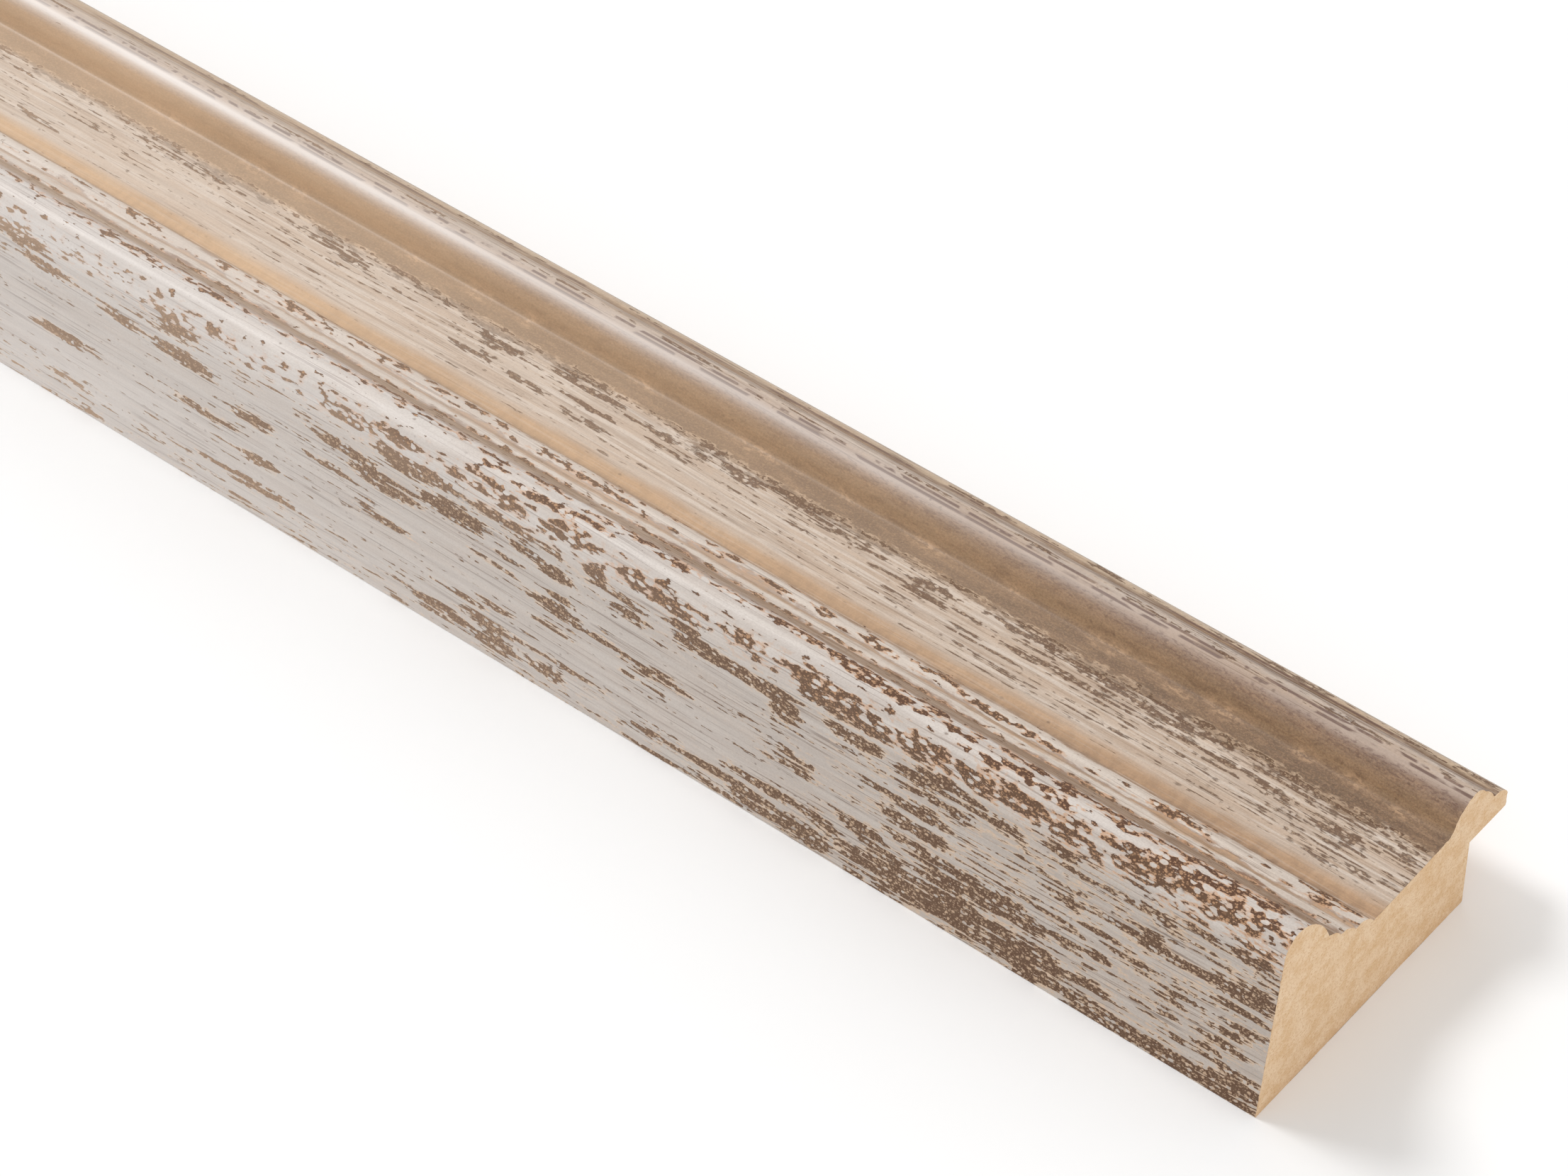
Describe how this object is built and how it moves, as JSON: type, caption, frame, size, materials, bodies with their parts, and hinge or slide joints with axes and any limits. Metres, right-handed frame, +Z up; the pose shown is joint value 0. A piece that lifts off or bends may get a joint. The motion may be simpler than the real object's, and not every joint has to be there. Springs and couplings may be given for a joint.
{
  "type": "picture frame moulding",
  "caption": "Straight stick of picture frame moulding with a tall outer crown, reeded step, flat panel, sight-edge bead and a rebate under its lip, square sawn at the ends.",
  "frame": {"origin": "on the flat back, under the middle of the stick's length and of its full width", "axes": "+X along the stick, towards the sawn end that the picture shows; +Y towards the lip that covers the picture's edge, so the tall outer face looks to -Y; +Z up from the flat back to the crown"},
  "size_m": [0.9144, 0.046, 0.025],
  "materials": {
    "moulding": "fibreboard with a distressed pale wash, worn brown, on the face and outer side; bare tan fibreboard on the sawn ends, back and rebate"
  },
  "bodies": {
    "root": {"moulding": "moulding"}
  },
  "joints": []
}
